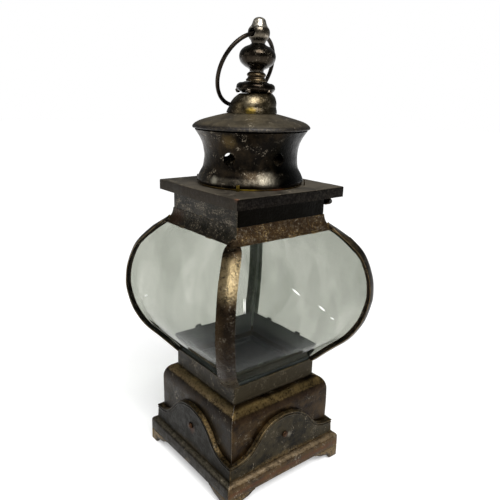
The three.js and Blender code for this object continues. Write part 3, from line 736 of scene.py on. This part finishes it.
def rib(aside, lean, crown, out_by):
    """a round-backed corner rib: aside and lean set it and its foot aside, out_by moves its middle out"""
    rings = []
    low, high = neck_high.z + 0.4, TONGUE[-1][1]
    for i, p in enumerate(RIB):
        run = RIB[min(i + 1, len(RIB) - 1)] - RIB[max(i - 1, 0)]
        tangent = Vector((run.x * math.sqrt(2), 0, run.y)).normalized()
        out = Vector((tangent.z, 0, -tangent.x))
        centre = Vector((p.x * math.sqrt(2), 0, p.y))
        wide = tongue_half(p.y)
        rise = crown * min(1, max(0.15, (248 - p.y) / 11)) - RIB_EDGE
        belly = out_by * max(0, min(1, (p.y - 112) / 30, (240 - p.y) / 20))
        moved = aside + lean * min(1, max(0, (150 - p.y) / 38)) ** 1.5
        shape = [(wide * math.cos(a), RIB_EDGE + rise * (1 - abs(math.cos(a)) ** 1.6))
                 for a in (math.pi * j / 20 for j in range(21))]
        shape += [(-wide, 0.35), (-wide * 0.6, 0.3), (-WEB, 0.3), (-WEB, -2.2), (WEB, -2.2), (WEB, 0.3),
                  (wide * 0.6, 0.3), (wide, 0.35)]
        ring = []
        for across, away in shape:
            q = centre + out * (away + 0.15 + belly) + Vector((0, across + moved, 0))
            q.z = min(max(q.z, low), high)
            q.x = min(q.x, limit(q.z))
            ring.append(q)
        rings.append(ring)
    return loops(rings, closed=False, ends=True)


# (aside, lean, crown, out_by) of each corner's rib
SET = [(-1.4, -2.2, 3.0, 0), (0, 0, 4.6, 0.2), (2.8, 0, 3.0, 0), (0, 0, 3.0, 0)]
for k, where in enumerate(CORNERS):
    turn = Matrix.Rotation(math.radians(-45 + 90 * k), 4, "Z")
    piece(f"rib_piece_{where}", rib(*SET[k]), rib_metal[k], ROOT, [f"rib_{where}"], turn,
          wobble=0.2, sharp=60)

# ------------------------------------------------------------------ lid
# faces: the folded sides painted darker than the top, the right side black: painted shade
plate_metal = aged("lid_plate_metal", dark=(0.036, 0.030, 0.022), mid=(0.088, 0.074, 0.053),
                   bright=(0.13, 0.10, 0.06), brass=0.12,
                   dusty=0.3, rough=0.55, metal=0.35, seed=60, blotch=16, bump=0.3,
                   faces=[((1, 0, 0), BLACK, 0.98), ((0, -1, 0), (0.022, 0.017, 0.012), 0.9),
                          ((0, 1, 0), DARK, 0.9), ((-1, 0, 0), DARK, 0.9)],
                   spots=[((60, -59, 280.5), 4, (0.30, 0.13, 0.07), 0.7)])


def lid_sheet():
    """a folded square plate with a round flue hole"""
    half, drop, thick, flue = 60.0, LIDTOP - lid_low.z, 1.4, 40.0
    rays = [(math.cos(a), math.sin(a)) for a in (2 * math.pi * k / 96 for k in range(96))]

    def square(h, z):
        return [Vector((c * h, d * h, z * max(abs(c), abs(d)))) / max(abs(c), abs(d)) for c, d in rays]

    def circle(r, z):
        return [Vector((r * c, r * d, z)) for c, d in rays]

    def between(f, z):
        return [p.lerp(q, f) for p, q in zip(circle(flue, z), square(half, z))]
    top, low = LIDTOP, LIDTOP - drop
    rings = [circle(flue, top - thick), circle(flue, top)]
    rings += [between(f, top) for f in (0.2, 0.4, 0.6, 0.8, 0.96)]
    rings += [square(half - 0.5, top - 0.05), square(half - 0.1, top - 0.4), square(half, top - 1),
              square(half, top - drop / 2), square(half, low), square(half - 1.2, low),
              square(half - 1.2, top - thick)]
    return loops(rings)


piece("lid_sheet", lid_sheet(), plate_metal, LID, ["lid_plate"], LID_AT, wobble=0.3,
      sharp=35)

sleeve_low, sleeve_high = span("lid_sleeve")


def sleeve():
    """three upright walls below the lid, open at the back"""
    half, wall, back = 46.8, 1.2, sleeve_high.y - WAY.y * 1.5
    path = ([Vector((half, back - (back + half) * c / 10, 0)) for c in range(11)]
            + [Vector((half - 2 * half * c / 10, -half, 0)) for c in range(1, 11)]
            + [Vector((-half, -half + (back + half) * c / 10, 0)) for c in range(1, 11)])
    inner = [Vector((max(-half + wall, min(half - wall, p.x)), max(-half + wall, p.y), 0)) for p in path]
    levels = [sleeve_low.z + (sleeve_high.z - sleeve_low.z) * r / 3 for r in range(4)]

    def lift(line):
        return [[p + Vector((0, 0, z)) for p in line] for z in levels]
    return shell(lift(path), lift(inner))


piece("sleeve", sleeve(), collar_metal, LID, ["lid_sleeve"], LID_AT, bevel=0.2)

# ------------------------------------------------------------------ chimney
# faces paints the right side near black: painted shade; the third and fourth spots and the band on the foot
# flare are painted highlights
chimney_metal = aged("chimney_metal", dark=(0.005, 0.004, 0.003), mid=(0.026, 0.018, 0.010),
                     bright=(0.26, 0.19, 0.09),
                     brass=0.12, dusty=0.38, rough=0.36, seed=70, edge=0.0, blotch=26, bump=0.5,
                     spots=[((-30, -32, 312), 24, (0.075, 0.042, 0.028), 0.7),
                            ((22, -38, 322), 9, (0.11, 0.075, 0.03), 0.5),
                            ((45.5, -14, 286.5), 13, (0.14, 0.125, 0.095), 0.7),
                            ((10, -46, 288), 5, (0.3, 0.28, 0.22), 0.7)],
                     bands=[(284.5, 290.5, (0.20, 0.18, 0.14), 0.18)],
                     faces=[((0.85, 0.52, 0), (0.001, 0.001, 0.0005), 1.4)])
waist = spline([(46.6, 282.3), (48.2, 284.7), (46.2, 289.8), (43, 296), (42, 304.5), (42.7, 313.3),
                (45.4, 320.6), (50.2, 328)], 6)
body_profile = waist + list(reversed(offset(waist, 1.2)))
chimney = piece("chimney", turned(body_profile, 144), chimney_metal, LID, ["chimney_body"],
                LID_AT, wobble=0.2, sharp=0)
VENTS, VENT_HEIGHT, FIRST_VENT = 6, 305.5, -3.7
drill(chimney, [LID_AT @ Matrix.Rotation(math.radians(FIRST_VENT + 360 / VENTS * i), 4, "Z")
                @ Matrix.Translation((45, 0, VENT_HEIGHT)) @ Matrix.Rotation(math.pi / 2, 4, "Y")
                for i in range(VENTS)], 5.5, 30)

# ------------------------------------------------------------------ chimney base ring, tabs and cap
gold_under = aged("base_ring_metal", dark=(0.015, 0.010, 0.005), mid=(0.060, 0.036, 0.012),
                  bright=(0.20, 0.13, 0.03), brass=0.25, dusty=0.2, seed=71, rough=0.4, edge=0.2,
                  spots=[((34, -30, 281), 12, (0.26, 0.18, 0.02), 0.8),
                                                                ((46, -6, 281), 8, (0.20, 0.07, 0.03),
                                                                 0.7)])
ring_low, ring_high = span("chimney_base_ring")
flat_ring = [(41.5, ring_low.z), (47, ring_low.z), (47.2, (ring_low.z + ring_high.z) / 2),
             (47, ring_high.z), (41.5, ring_high.z)]
piece("base_ring", turned(flat_ring, 96), gold_under, LID, ["chimney_base_ring"], LID_AT,
      sharp=50)
for i in range(4):
    turn = Matrix.Rotation(math.radians(-50 + 90 * i), 4, "Z")
    strip = prism([(49.4, -1.6), (50.3, -1.4), (50.3, 1.4), (49.4, 1.6)], LIDTOP + 0.1, LIDTOP + 5.4)
    piece(f"tab_{i}", strip, gold_under, LID, [f"chimney_tab_{i + 1}"], LID_AT @ turn,
          bevel=0.25)

# the band darkens the rim: painted shade
cap_metal = aged("cap_metal", dark=(0.034, 0.027, 0.017), mid=(0.084, 0.067, 0.040),
                 bright=(0.14, 0.11, 0.07), brass=0.12,
                 dusty=0.3, rough=0.5, metal=0.45, seed=72, blotch=18, bump=0.3,
                 bands=[(327.4, 333.2, (0.007, 0.005, 0.004), 1.0)])
crown = spline([(5.2, 344.1), (21.9, 342.1), (41.2, 337.2), (48.6, 334.4), (51.8, 331.9)], 6)
rim = spline([(51.8, 331.9), (52.5, 330.6), (52.1, 329.5), (51.2, 329.4), (50.6, 330.1)], 4)[1:]
inside = list(reversed(offset(crown, -1.2)))
piece("cap", turned(crown + rim + inside, 128), cap_metal, LID, ["chimney_cap"], LID_AT,
      wobble=0.2)

# ------------------------------------------------------------------ finial
# faces darken the sides, the left more: painted shade; the first spot is a painted highlight
bell_metal = aged("bell_metal", dark=(0.022, 0.016, 0.008), mid=(0.080, 0.060, 0.032),
                  bright=(0.36, 0.29, 0.17), brass=0.45,
                  dusty=0.35, rough=0.36, seed=80, blotch=30, bump=0.45,
                  faces=[((-0.6, -0.8, 0), (0.016, 0.013, 0.009), 0.8),
                         ((0.9, 0.4, 0), (0.040, 0.032, 0.018), 0.8)],
                  spots=[((15, -12, 353), 8, (0.34, 0.28, 0.18), 0.6),
                         ((17, -13, 344.5), 6, (0.15, 0.10, 0.012), 0.7)])
side_line = spline([(22.4, 0), (22.0, 2.2), (20.9, 5), (20.7, 6.4), (20.0, 9.4), (18.0, 13), (15.4, 15.6),
                    (13, 16.6), (3.6, 16.6)], 6)
bell_shape, bell_faces = turned(side_line + list(reversed(offset(side_line, 1.2))), 96)
bell_shape = [v + WAY * 3.6 * (max(v.z, 0) / 16.6) ** 1.4 for v in bell_shape]
piece("bell", (bell_shape, bell_faces), bell_metal, LID, ["finial_bell"],
      LID_AT @ Matrix.Translation((0, 0, 342.55)), wobble=0.15, sharp=60)

BORE = 2.4
dark_turned = aged("finial_dark", dark=(0.008, 0.006, 0.004), mid=(0.036, 0.026, 0.018),
                   bright=(0.40, 0.33, 0.22), brass=0.26, dusty=0.25, rough=0.18, seed=81, blotch=36)
# the spot is a painted highlight on the ball
ball_metal = aged("ball_metal", dark=(0.006, 0.005, 0.003), mid=(0.034, 0.026, 0.018),
                  bright=(0.70, 0.60, 0.44), brass=0.27, dusty=0.3, rough=0.16, seed=81, blotch=46,
                  spots=[((17, -8, 397), 4, (0.70, 0.62, 0.48), 0.8)])
brass_turned = aged("finial_brass", dark=(0.036, 0.025, 0.014), mid=(0.18, 0.128, 0.068),
                    bright=(0.40, 0.31, 0.17), brass=0.4, dusty=0.3, rough=0.33, seed=82, blotch=36)
# the pale band on the knob's top is a painted highlight; the black band at its neck, against the ball, is
# painted shade
knob_metal = aged("knob_metal", dark=(0.018, 0.014, 0.009), mid=(0.13, 0.11, 0.082),
                  bright=(0.60, 0.54, 0.44), brass=0.42, dusty=0.3, rough=0.26, seed=83, blotch=40,
                  bands=[(412, 423, (0.62, 0.57, 0.47), 0.75), (398, 405, BLACK, 0.6)])


def bead(line, steps=5):
    """a smooth turned bead with a straight bore"""
    curve = spline(line, steps)
    return [(BORE, curve[0].y), *[tuple(p) for p in curve], (BORE, curve[-1].y)]


disc = [(12.0, 16.5), (12.8, 17.5), (15.6, 18.3), (16.9, 20.2), (16.9, 22.0), (16.2, 23.8), (14.2, 25.2),
        (12.2, 25.4), (9.7, 26.3)]
spindle = [(8.9, 26.6), (8.8, 28.0), (7.3, 29.9), (8.3, 31.4), (7.9, 33.0), (6.1, 34.5)]
ball = [(6.1, 34.8), (6.6, 36.4), (10.6, 38.6), (14.3, 41.8), (15.8, 46.6), (14.8, 51), (11.4, 54.4),
        (7.2, 56.3), (5.9, 57.5)]
piece("disc", turned(bead(disc), 96), dark_turned, LID, ["finial_disc"], STACK, sharp=55)
piece("spindle", turned(bead(spindle), 72), brass_turned, LID, ["finial_spindle"], STACK,
      sharp=55)
piece("ball", turned(bead(ball), 96), ball_metal, LID, ["finial_ball"], STACK, sharp=55)
knob_line = [(5.9, 57.8), (6.5, 59.5), (8.8, 62.5), (9.5, 65.7), (8.9, 68.9), (7.0, 71.5), (6.0, 73.7),
             (5.0, 76.4), (3.0, 78.0), (0.4, 78.6)]
knob_curve = [(0.4, 57.8)] + [tuple(p) for p in spline(knob_line, 5)]
knob = piece("knob", turned(knob_curve, 96), knob_metal, LID, ["finial_knob"], STACK, sharp=0)
BORE_TURN = Matrix.Rotation(math.radians(10), 4, "Z")
RING_SEAT = STACK @ Matrix.Translation((0, 0, 65.6)) @ BORE_TURN
drill(knob, [RING_SEAT @ Matrix.Rotation(math.pi / 2, 4, "X")], 3.5, 40)


# ------------------------------------------------------------------ solder and hanging ring
def lump(size, squash, centre, seed):
    """an uneven round lump"""
    rng = random.Random(seed)
    bm = bmesh.new()
    bmesh.ops.create_icosphere(bm, subdivisions=3, radius=1)
    verts = [Vector(v.co) for v in bm.verts]
    faces = [[v.index for v in f.verts] for f in bm.faces]
    bm.free()
    shift = Vector((rng.uniform(-9, 9), rng.uniform(-9, 9), rng.uniform(-9, 9)))
    verts = [Vector((v.x * size, v.y * size, v.z * size * squash))
             * (1 + 0.25 * noise.noise(v * 1.3 + shift))
             + Vector(centre) for v in verts]
    return verts, faces


solder = aged("solder", dark=(0.010, 0.006, 0.005), mid=(0.045, 0.028, 0.020), bright=(0.4, 0.34, 0.26),
              brass=0.2, dusty=0.4, rough=0.3, seed=84, grain=700)
for i in range(5):
    a = math.radians(-62 + 72 * i)
    drop = lump(2.5, 0.85, (15.2 * math.cos(a), 15.2 * math.sin(a), 18.6), i)
    piece(f"solder_{i}", drop, solder, LID, [], STACK, sharp=0)

ring_metal = aged("ring_metal", dark=(0.010, 0.008, 0.006), mid=(0.036, 0.028, 0.020),
                  bright=(0.14, 0.11, 0.08), brass=0.15, dusty=0.15, rough=0.35, seed=85, edge=0.0)
RING_RADIUS, WIRE = 32.6, 1.8


def wire_ring():
    """the ring hangs from its top, where the bore is"""
    rings = []
    for k in range(160):
        a = 2 * math.pi * k / 160
        out = Vector((0, math.sin(a), math.cos(a)))
        centre = out * RING_RADIUS - Vector((0, 0, RING_RADIUS))
        rings.append([centre + out * WIRE * math.cos(b) + Vector((WIRE * math.sin(b), 0, 0))
                      for b in (2 * math.pi * j / 16 for j in range(16))])
    return loops(rings)


piece("wire_ring", wire_ring(), ring_metal, RING, ["hanging_ring"],
      RING_SEAT @ Matrix.Rotation(math.radians(22.5), 4, "Y"), sharp=0)

# ------------------------------------------------------------------ CAD nodes that stay
hinge_metal = aged("hinge_metal", brass=0.25, dusty=0.25, seed=90, rough=0.45, edge=0.0)
steel_metal = aged("steel_metal", dark=(0.03, 0.03, 0.028), mid=(0.07, 0.068, 0.062),
                   bright=(0.2, 0.19, 0.17), brass=0.2, seed=91, rough=0.4, edge=0.0)
KEPT = {hinge_metal: ("hinge_leaf_neck", "hinge_leaf_lid"),
        steel_metal: ("hinge_pin", "finial_tie_rod", "finial_nut", "finial_washer")}
for metal, names in KEPT.items():
    for name in names:
        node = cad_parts[name]
        node.data.materials.clear()
        node.data.materials.append(metal)


# ------------------------------------------------------------------ floor, lights and room
def stage():
    """a plain pale floor"""
    bpy.ops.mesh.primitive_circle_add(vertices=96, radius=6, fill_type="NGON", location=(0, 0, -0.0004))
    floor = bpy.context.object
    floor.name = "floor"
    t = Tree("floor")
    tone = t.step(t.noise(3, 2), 0.3, 0.7, 0.66, 0.64)
    t.put(t.bsdf.inputs["Emission Color"], (1, 1, 1, 1))
    t.put(t.bsdf.inputs["Emission Strength"], 0.36)
    grey = t.add("ShaderNodeCombineColor", {0: tone, 1: tone, 2: tone}).outputs[0]
    t.put(t.bsdf.inputs["Base Color"], grey)
    t.put(t.bsdf.inputs["Roughness"], 0.9)
    floor.data.materials.append(t.mat)


def sun(name, direction, angle, energy):
    data = bpy.data.lights.new(name, "SUN")
    data.energy = energy
    data.angle = math.radians(angle)
    lamp = bpy.data.objects.new(name, data)
    lamp.rotation_euler = Vector(direction).to_track_quat("Z", "Y").to_euler()
    bpy.context.scene.collection.objects.link(lamp)


def area(name, location, target, size, power):
    data = bpy.data.lights.new(name, "AREA")
    data.shape = "RECTANGLE"
    data.size, data.size_y = size, size
    data.energy = power
    lamp = bpy.data.objects.new(name, data)
    lamp.location = location
    lamp.rotation_euler = (Vector(target) - Vector(location)).to_track_quat("-Z", "Y").to_euler()
    bpy.context.scene.collection.objects.link(lamp)


def studio():
    """a dim room around the lantern, and white where the camera looks past it or through its glass"""
    world = bpy.data.worlds.new("studio")
    bpy.context.scene.world = world
    world.use_nodes = True
    nt = world.node_tree
    room, white = nt.nodes["Background"], nt.nodes.new("ShaderNodeBackground")
    white.inputs[0].default_value = (1, 1, 1, 1)
    room.inputs[0].default_value = (0.80, 0.81, 0.80, 1)
    room.inputs[1].default_value = 0.2
    path, pick = nt.nodes.new("ShaderNodeLightPath"), nt.nodes.new("ShaderNodeMixShader")
    seen = nt.nodes.new("ShaderNodeMath")
    seen.operation = "MAXIMUM"
    nt.links.new(path.outputs["Is Camera Ray"], seen.inputs[0])
    nt.links.new(path.outputs["Is Transmission Ray"], seen.inputs[1])
    nt.links.new(seen.outputs[0], pick.inputs[0])
    nt.links.new(room.outputs[0], pick.inputs[1])
    nt.links.new(white.outputs[0], pick.inputs[2])
    nt.links.new(pick.outputs[0], nt.nodes["World Output"].inputs[0])


stage()
sun("key", (0.72, -0.34, 1.15), 36, 3.5)
area("lamp", (1.25, -0.12, 1.45), (0, 0, 0.3), 0.28, 9)
area("window", (-0.5, -1.3, 0.9), (0, 0, 0.2), 0.7, 3)
studio()
bpy.context.scene.view_settings.view_transform = "Standard"
